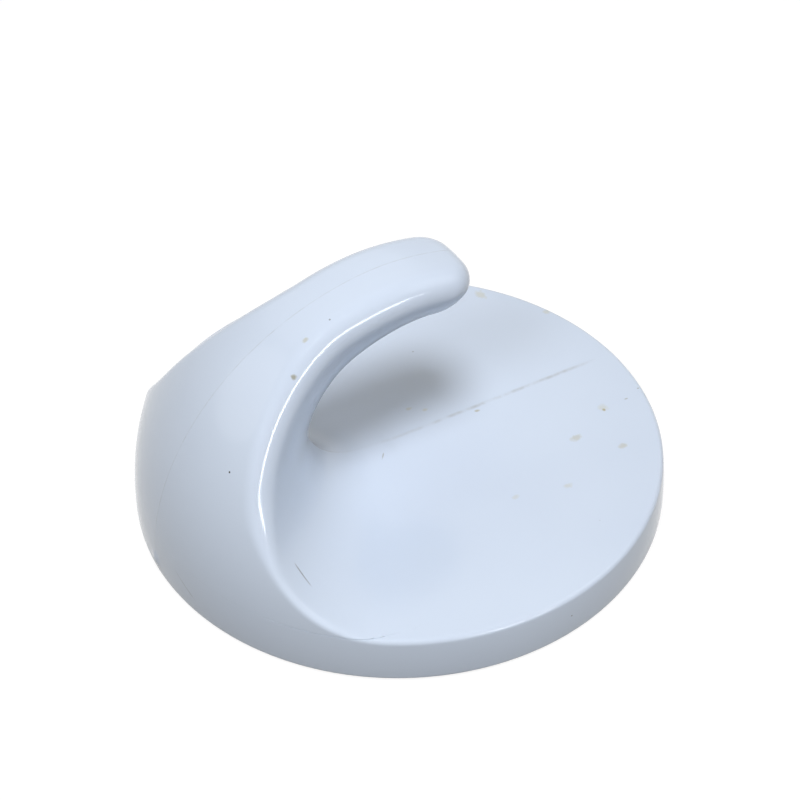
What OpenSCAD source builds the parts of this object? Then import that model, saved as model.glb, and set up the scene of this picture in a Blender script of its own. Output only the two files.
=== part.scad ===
// Adhesive wall hook: a one-piece moulded hook on a round foam-tape pad, lying on its back.
// Frame in millimetres: origin at the centre of the back face, +Z out of the wall, +Y up the wall.

/* [Hook moulding] */
// diameter of the round base, also the diameter of the dome that the hook is cut from
base_d = 50; // [42:1:64]
// height of the base plate's front face above the wall
plate_t = 4.5; // [3.6:0.1:6]
// width of the finger along its straight part
finger_w = 9.3; // [8:0.1:13]
// depth of the finger's rounded section at the tip
finger_t = 5.8; // [4.8:0.1:8]
// depth that the finger's section grows to where the neck meets the base
root_t = 19; // [16:0.2:24]
// reach of the soft fillet that runs from the neck out onto the plate's front face
throat_r = 12; // [8:0.5:13]
// how full the neck's inner face is across: 2 is an ellipse, less draws it to the parting line
root_full = 1.3; // [1.2:0.05:2]
// angle of the tip seen from the dome's centre, measured from the upward direction
tip_a = 74; // [66:0.5:84]
// rounding of the tip's corners
tip_r = 3.3; // [2.2:0.1:4]
// rounding of the finger's outer edges
edge_r = 2.3; // [1.6:0.1:3.2]
// rounding of the plate's rim
rim_r = 0.4; // [0.3:0.05:0.8]

/* [Cored back] */
// width of the cored pocket behind the neck, at its mouth
core_w = 13; // [8:0.5:15]
// length of the pocket up the wall, at its mouth
core_l = 7.4; // [5:0.2:8]
// depth of the pocket above the pad's recess
core_depth = 8.5; // [5:0.5:10]

/* [Wall pad] */
// diameter of the foam tape pad
pad_d = 42; // [34:0.5:43]
// gap all round between the pad and the recess that locates it
pad_gap = 0.4; // [0.2:0.1:1]
// how far the pad stands out behind the rim
pad_proud = 0.2; // [0.1:0.05:0.5]
// thickness of the foam core
foam_t = 0.8; // [0.6:0.1:1.6]
// thickness of each adhesive film
film_t = 0.06; // [0.04:0.01:0.12]
// thickness of the release liner
liner_t = 0.1; // [0.06:0.02:0.16]
// width of the liner's lift tab
tab_w = 9; // [6:0.5:14]

/* [Hidden] */
$fn = 96;
R = base_d / 2;
w = finger_w / 2;
rim_z = pad_proud;
recess_r = pad_d / 2 + pad_gap;
recess_z = liner_t + 2 * film_t + foam_t;
throat = [0, -0.1 * R, 0.46 * R];
throat_a = atan2(throat[2], throat[1]);
turns = [for (i = [0:32]) -90 + i * 180 / 32];

// union of two signed distances with a fillet that starts softly, and intersection with a round edge
function join(a, b, r) = max(r, min(a, b)) - pow(pow(max(r - a, 0), 3) + pow(max(r - b, 0), 3), 1 / 3);
function meet(a, b, r) = min(-r, max(a, b)) + norm([max(r + a, 0), max(r + b, 0)]);
function ramp(v) = min(max(v, 0), 1);
function ease(v) = let (c = ramp(v)) c * c * (3 - 2 * c);

// depth of the finger's section, growing from the tip to the base
function depth_at(a) = finger_t + (root_t - finger_t) * pow(ramp((a - 85) / 95), 1.6);

// half-round finger that follows the dome and spreads into the base
function finger(p) = let (
        rho = norm([p[1], p[2]]),
        raw = atan2(p[2], p[1]),
        a = raw < -90 ? raw + 360 : raw,
        hw = w + (R - w) * pow(ramp((a - 108) / 72), 1.65),
        hd = depth_at(a),
        n = 2 + (root_full - 2) * ease((a - 90) / 70),
        k = pow(pow(abs(p[0]) / hw, n) + pow(max(R - rho, 0) / hd, n), 1 / n))
    meet((k - 1) * min(hw, hd), (tip_a - a) * rho * PI / 180, tip_r);

// signed distance of the moulding's visible form: dome, plate, finger and their roundings
function shape(p) = let (
        body = join(finger(p), p[2] - plate_t, throat_r),
        r = rim_r + (edge_r - rim_r) * ease((p[2] - plate_t - 0.1 * R) / (0.26 * R)))
    meet(norm(p) - R, body, r);

// distance along a direction at which the surface is left, or entered
function leave_at(o, d, lo, hi, n = 18) = n == 0 ? (lo + hi) / 2 :
    let (m = (lo + hi) / 2, inside = shape(o + m * d) < 0)
    leave_at(o, d, inside ? m : lo, inside ? hi : m, n - 1);
function enter_at(o, d, lo, hi, n = 18) = n == 0 ? (lo + hi) / 2 :
    let (m = (lo + hi) / 2, inside = shape(o + m * d) < 0)
    enter_at(o, d, inside ? lo : m, inside ? m : hi, n - 1);

// Half a ring is the surface on one section plane, from the throat's side round to the outside.
// It is found from the middle c, with e pointing outwards and b the half depth along e.
function half_ring(c, e, b, reach) = let (a = leave_at(c, [1, 0, 0], 0, 2 * R))
    [for (f = turns) let (
            v = [a * cos(f), 0, 0] + b * sin(f) * e,
            far = f < -5 ? min(2 * R / b, reach / b / -sin(f)) : 2 * R / b)
        c + leave_at(c, v, 0, far) * v];
function tip_ring(a) = let (
        e = [0, cos(a), sin(a)],
        d = depth_at(a),
        q = 0.38 + 0.12 * ease((a - tip_a - 6) / (throat_a - tip_a - 6)))
    half_ring((R - q * d) * e, e, d / 2, 2 * d);
function fan_middle(a) = let (
        e = [0, cos(a), sin(a)],
        b = throat * e,
        d1 = sqrt(b * b - throat * throat + R * R) - b,
        d0 = enter_at(throat, e, 0, d1 - 0.4))
    [(d0 + d1) / 2, (d1 - d0) / 2];
function fan_ring(a) = let (e = [0, cos(a), sin(a)], m = fan_middle(a))
    half_ring(throat + m[0] * e, e, m[1], m[0]);

// level rings, all seen from the neck's middle; those of the base follow the rim's own spacing
neck_y = throat[1] - fan_middle(180)[0];
neck_b = fan_middle(180)[1];
function level_ring(z) = half_ring([0, neck_y, z], [0, -1, 0], neck_b, 2 * R);
function rim_way(f) = let (v = [R * cos(f), -R * sin(f) - neck_y, 0]) v / norm(v);
function base_ring(z) = let (c = [0, neck_y, z])
    [for (f = turns) c + leave_at(c, rim_way(f), 0, 2 * R) * rim_way(f)];
function circle_ring(r, z) = [for (f = turns) let (v = rim_way(f), b = neck_y * v[1])
    [0, neck_y, z] + (sqrt(b * b - neck_y * neck_y + r * r) - b) * v];
function oval_ring(x, y, z) = [for (f = turns) [x * cos(f), neck_y - y * sin(f), z]];

// first angle, past the tip, at which the finger still has some section
function tip_start(lo, hi, n = 16) = n == 0 ? hi :
    let (m = (lo + hi) / 2, c = (R - 0.38 * finger_t) * [0, cos(m), sin(m)])
    shape(c) < -0.03 ? tip_start(lo, m, n - 1) : tip_start(m, hi, n - 1);

// solid through half rings that are mirrored about the middle plane
function whole(h) = concat(h, [for (i = [len(h) - 2:-1:1]) [-h[i][0], h[i][1], h[i][2]]]);
function mean(r) = [for (i = [0:2]) [for (p = r) p[i]] * [for (p = r) 1] / len(r)];
module loft(halves) {
    rings = [for (h = halves) whole(h)];
    m = len(rings);
    n = len(rings[0]);
    points = concat([for (r = rings) each r], [mean(rings[0]), mean(rings[m - 1])]);
    sides = [for (i = [0:m - 2]) for (j = [0:n - 1]) let (k = (j + 1) % n)
        each [[i * n + j, (i + 1) * n + j, i * n + k], [i * n + k, (i + 1) * n + j, (i + 1) * n + k]]];
    caps = [for (j = [0:n - 1]) let (k = (j + 1) % n)
        each [[j, k, m * n], [(m - 1) * n + k, (m - 1) * n + j, m * n + 1]]];
    polyhedron(points, concat(sides, caps), convexity = 8);
}

module hook_body() {
    a0 = tip_start(tip_a - 4, 95);
    drop = throat[2] - plate_t;
    color("white") loft(concat(
        [for (i = [0:14]) tip_ring(a0 + (throat_a - a0) * (1 - cos(i * 90 / 15)))],
        [for (i = [0:16]) fan_ring(throat_a + (180 - throat_a) * i / 16)],
        [for (i = [1:11]) level_ring(plate_t + drop * (1 - sin(i * 90 / 11.6)))],
        [for (i = [0:4]) base_ring(plate_t - 0.01 - rim_r * (1 - cos(i * 90 / 4)))],
        [base_ring(plate_t / 2), base_ring(rim_z)],
        [circle_ring(recess_r, rim_z), circle_ring(recess_r, recess_z)],
        [oval_ring(core_w / 2, core_l / 2, recess_z)],
        [oval_ring(core_w / 2 - 0.5, core_l / 2 - 0.5, recess_z + core_depth)]));
}

module hook_side_adhesive() {
    color("khaki") translate([0, 0, recess_z - film_t]) cylinder(d = pad_d, h = film_t);
}

module foam_core() {
    color("whitesmoke") translate([0, 0, liner_t + film_t]) cylinder(d = pad_d, h = foam_t);
}

module wall_side_adhesive() {
    color("khaki") translate([0, 0, liner_t]) cylinder(d = pad_d, h = film_t);
}

module release_liner() {
    reach = R - 0.6 - tab_w / 2;
    color("lemonchiffon") union() {
        cylinder(d = pad_d, h = liner_t);
        translate([-tab_w / 2, 0, 0]) cube([tab_w, reach, liner_t]);
        translate([0, reach, 0]) cylinder(d = tab_w, h = liner_t);
    }
}

hook_body();
hook_side_adhesive();
foam_core();
wall_side_adhesive();
release_liner();
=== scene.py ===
import math

import bmesh
import bpy
import numpy as np
from mathutils import Matrix, Vector


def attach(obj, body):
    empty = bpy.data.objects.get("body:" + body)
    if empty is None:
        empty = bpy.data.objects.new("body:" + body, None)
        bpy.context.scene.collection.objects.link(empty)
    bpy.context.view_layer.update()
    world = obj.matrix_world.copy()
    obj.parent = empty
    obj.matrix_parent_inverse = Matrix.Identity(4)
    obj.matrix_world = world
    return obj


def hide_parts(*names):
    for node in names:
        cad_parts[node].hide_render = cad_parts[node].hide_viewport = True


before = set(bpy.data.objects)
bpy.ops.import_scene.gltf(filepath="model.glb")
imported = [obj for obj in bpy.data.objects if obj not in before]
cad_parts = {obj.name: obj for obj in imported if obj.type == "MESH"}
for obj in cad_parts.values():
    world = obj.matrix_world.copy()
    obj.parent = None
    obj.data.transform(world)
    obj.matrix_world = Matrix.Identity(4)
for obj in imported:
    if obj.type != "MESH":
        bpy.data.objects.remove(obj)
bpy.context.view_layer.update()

# Hook moulding
# One injection moulding of glossy white plastic: a round base, a neck and a half-round finger that
# all follow one dome. The mould opened to both sides, so a fine seam runs over its middle plane.
MM = 0.001
dome_r = 25.0
plate_top = 4.5
finger_half_width = 4.65
finger_depth = 5.8
root_depth = 19.0
# angles in degrees round the dome, from straight up the wall: where the finger starts to deepen,
# to widen and to lose its fullness, each with the span over which it does so
deepen_from, deepen_span, deepen_power = 85, 95, 1.6
widen_from, widen_span, widen_power = 108, 72, 1.65
thin_from, thin_span = 90, 70
root_fullness = 1.3
throat_reach = 12.0
tip_angle = 74.0
tip_round = 3.3
tip_droop = 0.35
droop_until, droop_span = 98, 26
droop_low, droop_rise = 0.45 * dome_r, 0.2 * dome_r
tip_middle = 0.38
finger_edge_round = 2.3
edge_low, edge_rise = plate_top + 0.1 * dome_r, 0.26 * dome_r
rim_round = 0.4
rim_bottom = 0.2
rim_bottom_round = 0.2
recess_radius = 21.4
recess_roof = 1.02
core_half_width, core_half_length, core_depth = 6.5, 3.7, 8.5
seam_columns = (0.0, 0.06, 0.16, 0.42, 0.8)
seam_height = 0.016
plate_seam_height = 0.01
gate_place, gate_radius, gate_height = (0.1, -24.95, 1.4), 0.75, 0.14
throat_middle = np.array([0.0, -0.1 * dome_r, 0.46 * dome_r])
throat_angle = math.degrees(math.atan2(throat_middle[2], throat_middle[1]))


def clamp01(v):
    return np.clip(v, 0.0, 1.0)


def ease(v):
    c = clamp01(v)
    return c * c * (3 - 2 * c)


def soft_union(a, b, r):
    cubes = np.maximum(r - a, 0) ** 3 + np.maximum(r - b, 0) ** 3
    return np.maximum(r, np.minimum(a, b)) - np.cbrt(cubes)


def rounded_cut(a, b, r):
    return np.minimum(-r, np.maximum(a, b)) + np.hypot(np.maximum(r + a, 0), np.maximum(r + b, 0))


def finger_depth_at(angle):
    growth = clamp01((angle - deepen_from) / deepen_span) ** deepen_power
    return finger_depth + (root_depth - finger_depth) * growth


def moulding_gap(p):
    """Signed distance in mm from the moulding's visible face, below zero inside it."""
    x, y, z = p[..., 0], p[..., 1], p[..., 2]
    reach = np.hypot(y, z)
    angle = np.degrees(np.arctan2(z, y))
    angle = np.where(angle < -90, angle + 360, angle)
    spread = clamp01((angle - widen_from) / widen_span) ** widen_power
    half_width = finger_half_width + (dome_r - finger_half_width) * spread
    depth = finger_depth_at(angle)
    n = 2 + (root_fullness - 2) * ease((angle - thin_from) / thin_span)
    k = ((np.abs(x) / half_width) ** n + (np.maximum(dome_r - reach, 0) / depth) ** n) ** (1 / n)
    finger = rounded_cut((k - 1) * np.minimum(half_width, depth),
                         np.radians(tip_angle - angle) * reach, tip_round)
    body = soft_union(finger, z - plate_top, throat_reach)
    edge = rim_round + (finger_edge_round - rim_round) * ease((z - edge_low) / edge_rise)
    droop = tip_droop * ease((droop_until - angle) / droop_span) * ease((z - droop_low) / droop_rise)
    return rounded_cut(np.linalg.norm(p, axis=-1) - dome_r + droop, body, edge)


def surface_along(c, ways, far):
    """Where rays from the point c leave the moulding."""
    lo, hi = np.zeros(len(ways)), np.array(far, float) * np.ones(len(ways))
    for _ in range(30):
        m = (lo + hi) / 2
        inside = moulding_gap(c + m[:, None] * ways) < 0
        lo, hi = np.where(inside, m, lo), np.where(inside, hi, m)
    return c + ((lo + hi) / 2)[:, None] * ways


turns = np.radians(np.linspace(-90, 90, 65))


def section_ways(a, b, e):
    """Ray directions of half a section, with the seam's shoulders beside the middle plane."""
    bulk = np.array([[a * math.cos(f), 0, 0] + b * math.sin(f) * e for f in turns])
    step = a * math.cos(turns[1]) / len(seam_columns)
    beside = [min(x, i * step) for i, x in enumerate(seam_columns)]
    first = [np.array([x, 0, 0]) - b * e for x in beside]
    last = [np.array([x, 0, 0]) + b * e for x in beside[::-1]]
    return np.array(first + list(bulk[1:-1]) + last)


def half_section(c, e, b, reach):
    a = surface_along(c, np.array([[1.0, 0, 0]]), 2 * dome_r)[0][0]
    ways = section_ways(a, b, e)
    inward = -(ways @ e)
    far = np.full(len(ways), 2 * dome_r / b)
    hit = inward > 0.08 * b
    far[hit] = np.minimum(far[hit], reach / inward[hit])
    return surface_along(c, ways, far)


def tip_section(angle):
    e = np.array([0, math.cos(math.radians(angle)), math.sin(math.radians(angle))])
    d = float(finger_depth_at(angle))
    along = float(ease((angle - tip_angle - 6) / (throat_angle - tip_angle - 6)))
    q = tip_middle + (0.5 - tip_middle) * along
    return half_section((dome_r - q * d) * e, e, d / 2, 2 * d)


def fan_span(angle):
    e = np.array([0, math.cos(math.radians(angle)), math.sin(math.radians(angle))])
    b = throat_middle @ e
    out = math.sqrt(b * b - throat_middle @ throat_middle + dome_r ** 2) - b
    lo, hi = 0.0, out - 0.4
    for _ in range(30):
        m = (lo + hi) / 2
        lo, hi = (lo, m) if moulding_gap(throat_middle + m * e) < 0 else (m, hi)
    return e, lo, out


def fan_section(angle):
    e, near, out = fan_span(angle)
    return half_section(throat_middle + (near + out) / 2 * e, e, (out - near) / 2, (near + out) / 2)


_, neck_near, neck_out = fan_span(180)
neck_y = throat_middle[1] - (neck_near + neck_out) / 2
neck_half = (neck_out - neck_near) / 2


def level_section(z):
    return half_section(np.array([0, neck_y, z]), np.array([0, -1.0, 0]), neck_half, 2 * dome_r)


def rim_ways():
    spots = [[x, math.sqrt(dome_r ** 2 - x * x)] for x in seam_columns]
    spots += [[dome_r * math.cos(f), -dome_r * math.sin(f)] for f in turns[1:-1]]
    spots += [[x, -math.sqrt(dome_r ** 2 - x * x)] for x in seam_columns[::-1]]
    v = np.array([[x, y - neck_y, 0] for x, y in spots])
    return v / np.linalg.norm(v, axis=1, keepdims=True)


def base_section(z):
    return surface_along(np.array([0, neck_y, z]), rim_ways(), 2 * dome_r)


def round_section(r, z):
    v = rim_ways()
    b = neck_y * v[:, 1]
    return np.array([0, neck_y, z]) + (np.sqrt(b * b - neck_y ** 2 + r * r) - b)[:, None] * v


def oval_section(half_width, half_length, z):
    v = section_ways(half_width, half_length, np.array([0, -1.0, 0]))
    return np.array([0, neck_y, z]) + v


def between(a, b, count):
    return [a + (b - a) * i / (count + 1) for i in range(1, count + 1)]


lo, hi = tip_angle - 4, 95.0
for _ in range(20):
    mid = (lo + hi) / 2
    d = math.radians(mid)
    c = (dome_r - tip_middle * finger_depth) * np.array([0, math.cos(d), math.sin(d)])
    lo, hi = (lo, mid) if moulding_gap(c) < -0.02 else (mid, hi)
tip_first = hi
foot = level_section(plate_top + 0.012)
foot[:, 2] = np.minimum(foot[:, 2], plate_top)
rim_top = base_section(plate_top - 0.004)
base_r = math.sqrt(dome_r ** 2 - (rim_bottom + rim_bottom_round) ** 2)
# from the tip round to the throat, down the neck, out over the plate, and round the rim to the back
sections = [tip_section(tip_first + (throat_angle - tip_first) * (1 - math.cos(i * math.pi / 60)))
            for i in range(30)]
sections += [fan_section(throat_angle + (180 - throat_angle) * i / 30) for i in range(31)]
drop = throat_middle[2] - plate_top
sections += [level_section(plate_top + drop * (1 - math.sin(math.radians(i * 90 / 22.6))))
             for i in range(1, 22)]
sections += [foot] + between(foot, rim_top, 5) + [rim_top]
sections += [base_section(plate_top - 0.004 - rim_round * (1 - math.cos(math.radians(i * 15))))
             for i in range(1, 7)]
sections += [base_section(z) for z in
             (3.5, 3.0, 2.6, 2.2, 1.9, 1.6, 1.4, 1.2, 1.0, 0.8, 0.6, rim_bottom + rim_bottom_round)]
sections += [round_section(base_r - rim_bottom_round * (1 - math.cos(t)),
                           rim_bottom + rim_bottom_round * (1 - math.sin(t)))
             for t in (0.5, 1.0, math.pi / 2)]
sections += [round_section(recess_radius + s, z) for s, z in
             ((0.12, rim_bottom), (0.0, rim_bottom + 0.1), (0.0, recess_roof - 0.06), (-0.12, recess_roof))]
sections += [oval_section(core_half_width + s, core_half_length + s, z) for s, z in
             ((0.4, recess_roof), (0.0, recess_roof + 0.15), (-0.45, recess_roof + core_depth - 0.5),
              (-0.9, recess_roof + core_depth), (-3.0, recess_roof + core_depth))]

bm = bmesh.new()
half = len(sections[0])
count = 2 * half - 2


def whole_ring(s):
    return np.concatenate([s, (s * [-1, 1, 1])[-2:0:-1]])


ring = bmesh.ops.create_circle(bm, segments=count, radius=MM)["verts"]
ring_edges = list({e for v in ring for e in v.link_edges})
for v, p in zip(ring, whole_ring(sections[0])):
    v.co = Vector(p) * MM
for s in sections[1:]:
    made = bmesh.ops.extrude_edge_only(bm, edges=ring_edges)["geom"]
    fresh = {v for v in made if isinstance(v, bmesh.types.BMVert)}
    following = []
    for v, p in zip(ring, whole_ring(s)):
        after = next(e.other_vert(v) for e in v.link_edges if e.other_vert(v) in fresh)
        after.co = Vector(p) * MM
        following.append(after)
    ring = following
    ring_edges = [e for e in made if isinstance(e, bmesh.types.BMEdge)
                  and e.verts[0] in fresh and e.verts[1] in fresh]
bmesh.ops.holes_fill(bm, edges=[e for e in bm.edges if e.is_boundary], sides=0)
bmesh.ops.remove_doubles(bm, verts=bm.verts, dist=1e-7)
bmesh.ops.recalc_face_normals(bm, faces=bm.faces)
bm.normal_update()
gate_middle = Vector(gate_place) * MM
lifts = []
for v in bm.verts:
    lift = gate_height * float(ease(1.3 - (v.co - gate_middle).length / (gate_radius * MM)))
    if abs(v.co.x) < 1e-7 and v.co.z > (rim_bottom + 0.3) * MM and len(v.link_edges) == 4:
        lift += plate_seam_height if v.normal.z > 0.9 and v.co.z < 6 * MM else seam_height
    lifts.append((v, v.normal * lift * MM))
for v, lift in lifts:
    v.co += lift
for f in bm.faces:
    f.smooth = True
hook_mesh = bpy.data.meshes.new("hook_body_mesh")
bm.to_mesh(hook_mesh)
bm.free()
hook = bpy.data.objects.new("hook_moulding", hook_mesh)
bpy.context.scene.collection.objects.link(hook)
smooth = hook.modifiers.new("smooth", "SUBSURF")
smooth.levels = smooth.render_levels = 1


def linear(hexcode):
    """sRGB hex to the linear colour that the shaders take."""
    parts = [int(hexcode[i:i + 2], 16) / 255 for i in (1, 3, 5)]
    return [c / 12.92 if c <= 0.04045 else ((c + 0.055) / 1.055) ** 2.4 for c in parts] + [1.0]


def add(tree, kind, settings=None, **links):
    """Adds one node: settings are properties or socket values, links are sockets that feed it."""
    node = tree.nodes.new(kind)
    for key, value in (settings or {}).items():
        if hasattr(node, key) and key not in node.inputs:
            setattr(node, key, value)
        else:
            node.inputs[int(key[1:]) if key[0] == "#" else key].default_value = value
    for key, source in links.items():
        tree.links.new(source, node.inputs[int(key[1:]) if key[0] == "i" and key[1:].isdigit() else key])
    return node


# White polystyrene, moulded in a polished tool: even and glossy, a little blue in the white, with
# faint flow mottling, dust specks, a dirty parting line and old stains that break up the shine.
white = bpy.data.materials.new("moulded_white_polystyrene")
white.use_nodes = True
t = white.node_tree
shader = t.nodes["Principled BSDF"]
place = add(t, "ShaderNodeTexCoord").outputs["Object"]
in_mm = add(t, "ShaderNodeVectorMath", {"operation": "SCALE", "Scale": 1000.0}, i0=place).outputs[0]
# flow clouds about 14 mm across
cloud = add(t, "ShaderNodeTexNoise", {"Scale": 1 / 14, "Detail": 3.0}, Vector=in_mm).outputs["Fac"]
tint = add(t, "ShaderNodeMix", {"data_type": "RGBA", "#6": linear("#D1DDEF"), "#7": linear("#D9E5F5")},
           Factor=cloud).outputs[2]
# ragged outlines for every mark, about 0.4 mm
ragged = add(t, "ShaderNodeTexNoise", {"Scale": 1 / 0.4, "Detail": 2.0}, Vector=in_mm).outputs["Fac"]


def stain(under, colour, strength, middle, size, turn=(0, 0, 0)):
    """Lays one mark over the colour: an ellipsoid of half sizes in mm whose outline is ragged."""
    local = add(t, "ShaderNodeMapping", {"vector_type": "TEXTURE", "Location": middle, "Rotation": turn,
                                         "Scale": size}, Vector=in_mm).outputs[0]
    far = add(t, "ShaderNodeVectorMath", {"operation": "LENGTH"}, i0=local).outputs["Value"]
    far = add(t, "ShaderNodeMath", {"operation": "ADD"}, i0=far, i1=ragged).outputs[0]
    mask = add(t, "ShaderNodeMapRange", {"From Min": 1.5, "From Max": 0.9, "To Max": strength},
               Value=far).outputs[0]
    return add(t, "ShaderNodeMix", {"data_type": "RGBA", "#7": linear(colour)},
               Factor=mask, i6=under).outputs[2]


# dust and burnt specks: half of the cells of 3.2 mm hold a dot up to 0.3 mm wide
dots = add(t, "ShaderNodeTexVoronoi", {"Scale": 1 / 3.2}, Vector=in_mm)
pick = add(t, "ShaderNodeSeparateColor", Color=dots.outputs["Color"])
size = add(t, "ShaderNodeMapRange", {"From Min": 0.5, "From Max": 1.0, "To Min": 0.0, "To Max": 0.05},
           Value=pick.outputs["Red"]).outputs[0]
speck = add(t, "ShaderNodeMath", {"operation": "LESS_THAN"},
            i0=dots.outputs["Distance"], i1=size).outputs[0]
speck = add(t, "ShaderNodeMath", {"operation": "MULTIPLY"},
            i0=speck, i1=pick.outputs["Green"]).outputs[0]
tint = add(t, "ShaderNodeMix", {"data_type": "RGBA", "#7": linear("#4A4A44")},
           Factor=speck, i6=tint).outputs[2]
# dirt along the parting line: a hair line on the finger, a smudge 0.5 mm wide out on the plate
axes = add(t, "ShaderNodeSeparateXYZ", Vector=in_mm)
across = add(t, "ShaderNodeMath", {"operation": "ABSOLUTE"}, i0=axes.outputs["X"]).outputs[0]
patchy = add(t, "ShaderNodeTexNoise", {"Scale": 1 / 1.3, "Detail": 4.0}, Vector=in_mm).outputs["Fac"]
patchy = add(t, "ShaderNodeMapRange", {"From Min": 0.36, "From Max": 0.66, "To Min": 0.15, "To Max": 1.0},
             Value=patchy).outputs[0]
low = add(t, "ShaderNodeMapRange", {"From Min": 6.0, "From Max": 4.8}, Value=axes.outputs["Z"]).outputs[0]
inner_end = add(t, "ShaderNodeMapRange", {"From Min": -3.0, "From Max": 8.0, "To Min": 0.1},
                Value=axes.outputs["Y"]).outputs[0]
outer_end = add(t, "ShaderNodeMapRange", {"From Min": 22.5, "From Max": 19.0},
                Value=axes.outputs["Y"]).outputs[0]
smudge = add(t, "ShaderNodeMapRange", {"From Min": 0.30, "From Max": 0.02, "To Max": 0.42},
             Value=across).outputs[0]
for part in (patchy, low, inner_end, outer_end):
    smudge = add(t, "ShaderNodeMath", {"operation": "MULTIPLY"}, i0=smudge, i1=part).outputs[0]
high = add(t, "ShaderNodeMapRange", {"From Min": 4.8, "From Max": 6.0},
           Value=axes.outputs["Z"]).outputs[0]
hair = add(t, "ShaderNodeMapRange", {"From Min": 0.09, "From Max": 0.03, "To Max": 0.22},
           Value=across).outputs[0]
for part in (patchy, high):
    hair = add(t, "ShaderNodeMath", {"operation": "MULTIPLY"}, i0=hair, i1=part).outputs[0]
line = add(t, "ShaderNodeMath", {"operation": "ADD"}, i0=smudge, i1=hair).outputs[0]
tint = add(t, "ShaderNodeMix", {"data_type": "RGBA", "#7": linear("#8E8B7C")},
           Factor=line, i6=tint).outputs[2]
# old stains and dots: colour, strength, middle and half sizes in mm
for colour, strength, middle, half_size in (
        ("#8F8656", 0.70, (4.69, -12.3, 20.72), (0.30, 0.30, 0.30)),
        ("#B5AB72", 0.45, (2.93, -10.3, 22.55), (0.28, 0.34, 0.30)),
        ("#9C8E3F", 0.75, (6.58, 18.81, 4.5), (0.22, 0.24, 0.5)),
        ("#C9C4A0", 0.30, (6.3, 18.9, 4.5), (0.60, 0.60, 0.5)),
        ("#B9B083", 0.40, (8.47, 14.27, 4.5), (0.45, 0.75, 0.5)),
        ("#B9B083", 0.40, (11.56, 17.43, 4.5), (0.40, 0.55, 0.5)),
        ("#C3BC98", 0.30, (13.36, 10.03, 4.5), (0.35, 0.60, 0.5)),
        ("#C3BC98", 0.25, (12.18, 5.21, 4.5), (0.30, 0.45, 0.5)),
        ("#A79B66", 0.55, (0.62, 8.23, 4.5), (0.22, 0.30, 0.5)),
        ("#C3BC98", 0.30, (-2.88, 2.74, 4.5), (0.25, 0.40, 0.5)),
        ("#C3BC98", 0.30, (-1.99, 4.0, 4.5), (0.25, 0.35, 0.5)),
        ("#C9C4A0", 0.40, (-14.6, 18.1, 4.5), (0.9, 0.6, 0.5)),
        ("#C9C4A0", 0.35, (-8.76, 22.4, 4.5), (0.5, 0.45, 0.5)),
        ("#8E8B7C", 0.45, (6.34, 21.56, 4.5), (0.12, 0.25, 0.5)),
        ("#8E8B7C", 0.50, (5.67, 23.47, 4.5), (0.12, 0.15, 0.5))):
    tint = stain(tint, colour, strength, middle, half_size)
# painted shade: a thin dark grey-brown line along the inner crease
tint = stain(tint, "#5E5A52", 0.7, (13.13, -16.55, 7.37), (1.5, 0.09, 0.4), (0, 0.70, 0.31))
# the light scratch low on the flank and a nick on the plate
tint = stain(tint, "#AEB7C2", 0.6, (5.4, -24.25, 2.4), (2.0, 0.5, 0.09), (0, 0.44, 0.17))
tint = stain(tint, "#8E8B7C", 0.5, (1.68, -2.64, 4.65), (0.09, 0.55, 0.3), (0, 0, 0.9))
t.links.new(tint, shader.inputs["Base Color"])
# handling haze 9 mm across dulls the gloss in places
haze = add(t, "ShaderNodeTexNoise", {"Scale": 1 / 9, "Detail": 4.0}, Vector=in_mm).outputs["Fac"]
gloss = add(t, "ShaderNodeMapRange", {"From Min": 0.3, "From Max": 0.7, "To Min": 0.10, "To Max": 0.18},
            Value=haze).outputs[0]
t.links.new(gloss, shader.inputs["Roughness"])
# skin of the polished tool, waves of 1.5 mm, drawn coarser than life so that it shows
skin = add(t, "ShaderNodeTexNoise", {"Scale": 1 / 1.5, "Detail": 3.0}, Vector=in_mm).outputs["Fac"]
bump = add(t, "ShaderNodeBump", {"Strength": 0.35, "Distance": 0.000012}, Height=skin).outputs[0]
t.links.new(bump, shader.inputs["Normal"])
shader.inputs["IOR"].default_value = 1.5
hook_mesh.materials.append(white)
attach(hook, "root")
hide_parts("hook_body")

# Hook-side adhesive film
# A thin coat of clear acrylic adhesive on the foam, bonded to the roof of the moulding's recess.
# Acrylic adhesive, coated and cured: pale amber and shiny, with streaks about 2 mm wide.
adhesive = bpy.data.materials.new("clear_acrylic_adhesive")
adhesive.use_nodes = True
t = adhesive.node_tree
shader = t.nodes["Principled BSDF"]
in_mm = add(t, "ShaderNodeVectorMath", {"operation": "SCALE", "Scale": 1000.0},
            i0=add(t, "ShaderNodeTexCoord").outputs["Object"]).outputs[0]
streak = add(t, "ShaderNodeTexNoise", {"Scale": 0.5, "Detail": 2.0}, Vector=in_mm).outputs["Fac"]
tint = add(t, "ShaderNodeMix", {"data_type": "RGBA", "#6": linear("#D9D3BD"), "#7": linear("#E6E1CF")},
           Factor=streak).outputs[2]
t.links.new(tint, shader.inputs["Base Color"])
shader.inputs["Roughness"].default_value = 0.2
hook_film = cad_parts["hook_side_adhesive"]
hook_film.data.materials.clear()
hook_film.data.materials.append(adhesive)

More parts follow.
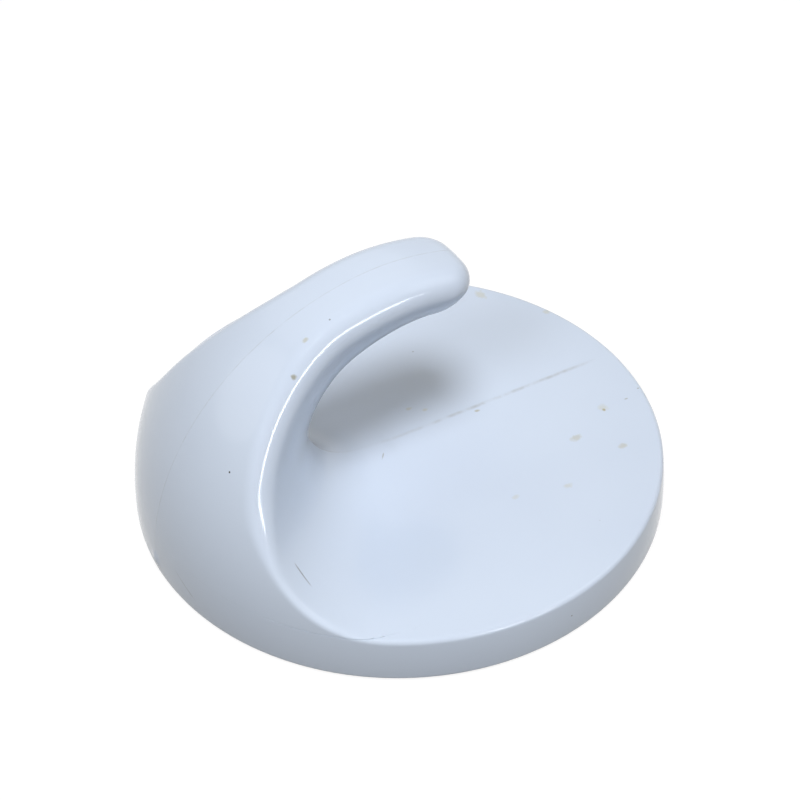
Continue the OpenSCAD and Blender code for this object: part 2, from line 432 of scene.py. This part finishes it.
# Foam core
# A die-cut disc of white closed-cell polyethylene foam, the body of the tape pad.
foam_radius, foam_low, foam_high = 21.0, 0.16, 0.96
foam_draw_in = 0.004
bm = bmesh.new()
bmesh.ops.create_circle(bm, cap_ends=True, segments=128, radius=foam_radius * MM,
                        matrix=Matrix.Translation((0, 0, foam_low * MM)))
made = bmesh.ops.extrude_face_region(bm, geom=list(bm.faces))["geom"]
bmesh.ops.translate(bm, verts=[v for v in made if isinstance(v, bmesh.types.BMVert)],
                    vec=(0, 0, (foam_high - foam_low) * MM))
bmesh.ops.recalc_face_normals(bm, faces=bm.faces)
wall = [e for e in bm.edges if abs(e.verts[0].co.z - e.verts[1].co.z) > 0.5 * MM]
bmesh.ops.subdivide_edges(bm, edges=wall, cuts=4)
for v in bm.verts:
    h = (v.co.z / MM - foam_low) / (foam_high - foam_low)
    pull = 1 - foam_draw_in * math.sin(math.pi * h)
    v.co.x *= pull
    v.co.y *= pull
for f in bm.faces:
    f.smooth = len(f.verts) == 4
foam_mesh = bpy.data.meshes.new("foam_core_mesh")
bm.to_mesh(foam_mesh)
bm.free()
foam = bpy.data.objects.new("foam_pad", foam_mesh)
bpy.context.scene.collection.objects.link(foam)
# Polyethylene foam, die-cut: matt white, with cut cells about 0.25 mm wide on its edge.
foam_material = bpy.data.materials.new("closed_cell_foam")
foam_material.use_nodes = True
t = foam_material.node_tree
shader = t.nodes["Principled BSDF"]
in_mm = add(t, "ShaderNodeVectorMath", {"operation": "SCALE", "Scale": 1000.0},
            i0=add(t, "ShaderNodeTexCoord").outputs["Object"]).outputs[0]
cells = add(t, "ShaderNodeTexVoronoi", {"Scale": 4.0}, Vector=in_mm).outputs["Distance"]
tint = add(t, "ShaderNodeMix", {"data_type": "RGBA", "#6": linear("#D8D8D4"), "#7": linear("#F1F1EE")},
           Factor=cells).outputs[2]
t.links.new(tint, shader.inputs["Base Color"])
bump = add(t, "ShaderNodeBump", {"Strength": 0.6, "Distance": 0.0001}, Height=cells).outputs[0]
t.links.new(bump, shader.inputs["Normal"])
shader.inputs["Roughness"].default_value = 0.85
foam_mesh.materials.append(foam_material)
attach(foam, "root")
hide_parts("foam_core")

# Wall-side adhesive film
# The same clear coat on the foam's other face, kept clean by the liner until the hook is put up.
wall_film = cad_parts["wall_side_adhesive"]
wall_film.data.materials.clear()
wall_film.data.materials.append(adhesive)

# Release liner
# A disc of silicone-coated kraft paper with a lift tab, peeled off and thrown away at fitting.
# Silicone-coated kraft paper: straw-coloured, half shiny from the coating, with faint fibres.
liner_paper = bpy.data.materials.new("silicone_coated_paper")
liner_paper.use_nodes = True
t = liner_paper.node_tree
shader = t.nodes["Principled BSDF"]
in_mm = add(t, "ShaderNodeVectorMath", {"operation": "SCALE", "Scale": 1000.0},
            i0=add(t, "ShaderNodeTexCoord").outputs["Object"]).outputs[0]
# paper fibres about 1.1 mm long
fibres = add(t, "ShaderNodeTexNoise", {"Scale": 0.9, "Detail": 6.0, "Roughness": 0.7},
             Vector=in_mm).outputs["Fac"]
tint = add(t, "ShaderNodeMix", {"data_type": "RGBA", "#6": linear("#D9CBA4"), "#7": linear("#EFE6CC")},
           Factor=fibres).outputs[2]
t.links.new(tint, shader.inputs["Base Color"])
bump = add(t, "ShaderNodeBump", {"Strength": 0.25, "Distance": 0.00005}, Height=fibres).outputs[0]
t.links.new(bump, shader.inputs["Normal"])
shader.inputs["Roughness"].default_value = 0.45
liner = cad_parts["release_liner"]
liner.data.materials.clear()
liner.data.materials.append(liner_paper)

# Floor
# A plain white table top: the camera sees it as white, and the hook's soft shadow stays on it.
floor_half = 1.5
floor_drop = 0.00005
bm = bmesh.new()
bmesh.ops.create_grid(bm, x_segments=1, y_segments=1, size=floor_half)
floor_mesh = bpy.data.meshes.new("floor_mesh")
bm.to_mesh(floor_mesh)
bm.free()
floor = bpy.data.objects.new("floor", floor_mesh)
floor.location.z = -floor_drop
bpy.context.scene.collection.objects.link(floor)
floor_paint = bpy.data.materials.new("white_table")
floor_paint.use_nodes = True
t = floor_paint.node_tree
t.nodes.clear()
seen = add(t, "ShaderNodeLightPath")
direct = seen.outputs["Is Camera Ray"]
for ray in ("Is Glossy Ray", "Is Transmission Ray"):
    direct = add(t, "ShaderNodeMath", {"operation": "MAXIMUM"}, i0=direct, i1=seen.outputs[ray]).outputs[0]
matt = add(t, "ShaderNodeBsdfDiffuse", {"Color": linear("#202020")}).outputs[0]
dim = add(t, "ShaderNodeBsdfDiffuse", {"Color": linear("#7A7A7A")}).outputs[0]
glow = add(t, "ShaderNodeEmission", {"Color": (1, 1, 1, 1), "Strength": 0.86}).outputs[0]
shown = add(t, "ShaderNodeAddShader", i0=dim, i1=glow).outputs[0]
mixed = add(t, "ShaderNodeMixShader", i0=direct, i1=matt, i2=shown).outputs[0]
add(t, "ShaderNodeOutputMaterial", Surface=mixed)
floor_mesh.materials.append(floor_paint)

# Light
# Soft lamps round a pale room: the main one high above the camera, smaller ones to its left and right,
# three behind the hook, and one low strip that only draws the shine along the finger's edge.
world = bpy.data.worlds.new("pale_room")
bpy.context.scene.world = world
world.use_nodes = True
t = world.node_tree
t.nodes.clear()
seen = add(t, "ShaderNodeLightPath")
direct = seen.outputs["Is Camera Ray"]
for ray in ("Is Glossy Ray", "Is Transmission Ray"):
    direct = add(t, "ShaderNodeMath", {"operation": "MAXIMUM"}, i0=direct, i1=seen.outputs[ray]).outputs[0]
room = add(t, "ShaderNodeBackground", {"Color": linear("#FFF3D2"), "Strength": 0.15}).outputs[0]
white_wall = add(t, "ShaderNodeBackground", {"Color": (1, 1, 1, 1), "Strength": 1.0}).outputs[0]
mixed = add(t, "ShaderNodeMixShader", i0=direct, i1=room, i2=white_wall).outputs[0]
add(t, "ShaderNodeOutputWorld", Surface=mixed)
lamp_distance = 0.5
# degrees, metres and watts, then whether the lamp lights the colour and whether it shows in the gloss
for name, azimuth, elevation, width, height, power, shades, mirrored in (
        ("key", 60, 72, 0.16, 0.16, 1.24, True, False),
        ("left", 28, 47, 0.12, 0.12, 0.42, True, False),
        ("far_left", 325, 33, 0.3, 0.3, 0.16, True, True),
        ("back_right", 150, 48, 0.3, 0.3, 0.2, True, True),
        ("back_left", 265, 48, 0.5, 0.5, 0.2, True, True),
        ("right", 98, 26, 0.15, 0.15, 0.4, True, False),
        ("finger_strip", 101, 26, 0.3, 0.035, 0.55, False, True)):
    data = bpy.data.lights.new(name, "AREA")
    data.shape = "ELLIPSE"
    data.size, data.size_y = width, height
    data.energy = power
    data.color = (0.99, 1.01, 1.06)
    lamp = bpy.data.objects.new(name, data)
    lamp.visible_diffuse, lamp.visible_glossy = shades, mirrored
    a, e = math.radians(azimuth), math.radians(elevation)
    way = Vector((math.sin(a) * math.cos(e), -math.cos(a) * math.cos(e), math.sin(e)))
    lamp.location = way * lamp_distance
    lamp.rotation_euler = (-way).to_track_quat("-Z", "Y").to_euler()
    bpy.context.scene.collection.objects.link(lamp)

# Camera
# Close and slightly rolled, as the photo was taken, looking down over the hook's right side.
azimuth, elevation, roll = 60.92, 41.77, -0.65
distance_in_radii = 6.0
pixels_per_radius = 247.8
image_pixels, sensor = 800, 36.0
a, e = math.radians(azimuth), math.radians(elevation)
back = Vector((math.sin(a) * math.cos(e), -math.cos(a) * math.cos(e), math.sin(e)))
right = Vector((math.cos(a), math.sin(a), 0))
up = back.cross(right)
r = math.radians(roll)
right, up = right * math.cos(r) + up * math.sin(r), up * math.cos(r) - right * math.sin(r)
target = Vector((-0.342, 0.201, 0)) * dome_r * MM + (up * 0.16 - right * 0.1) * MM
eye = target + back * distance_in_radii * dome_r * MM
camera_data = bpy.data.cameras.new("photo_camera")
camera_data.sensor_width = sensor
camera_data.lens = pixels_per_radius * distance_in_radii / image_pixels * sensor
camera_data.clip_start = 0.005
camera = bpy.data.objects.new("photo_camera", camera_data)
camera.matrix_world = Matrix((
    (right.x, up.x, back.x, eye.x),
    (right.y, up.y, back.y, eye.y),
    (right.z, up.z, back.z, eye.z),
    (0, 0, 0, 1)))
bpy.context.scene.collection.objects.link(camera)
bpy.context.scene.camera = camera
bpy.context.scene.view_settings.view_transform = "Standard"
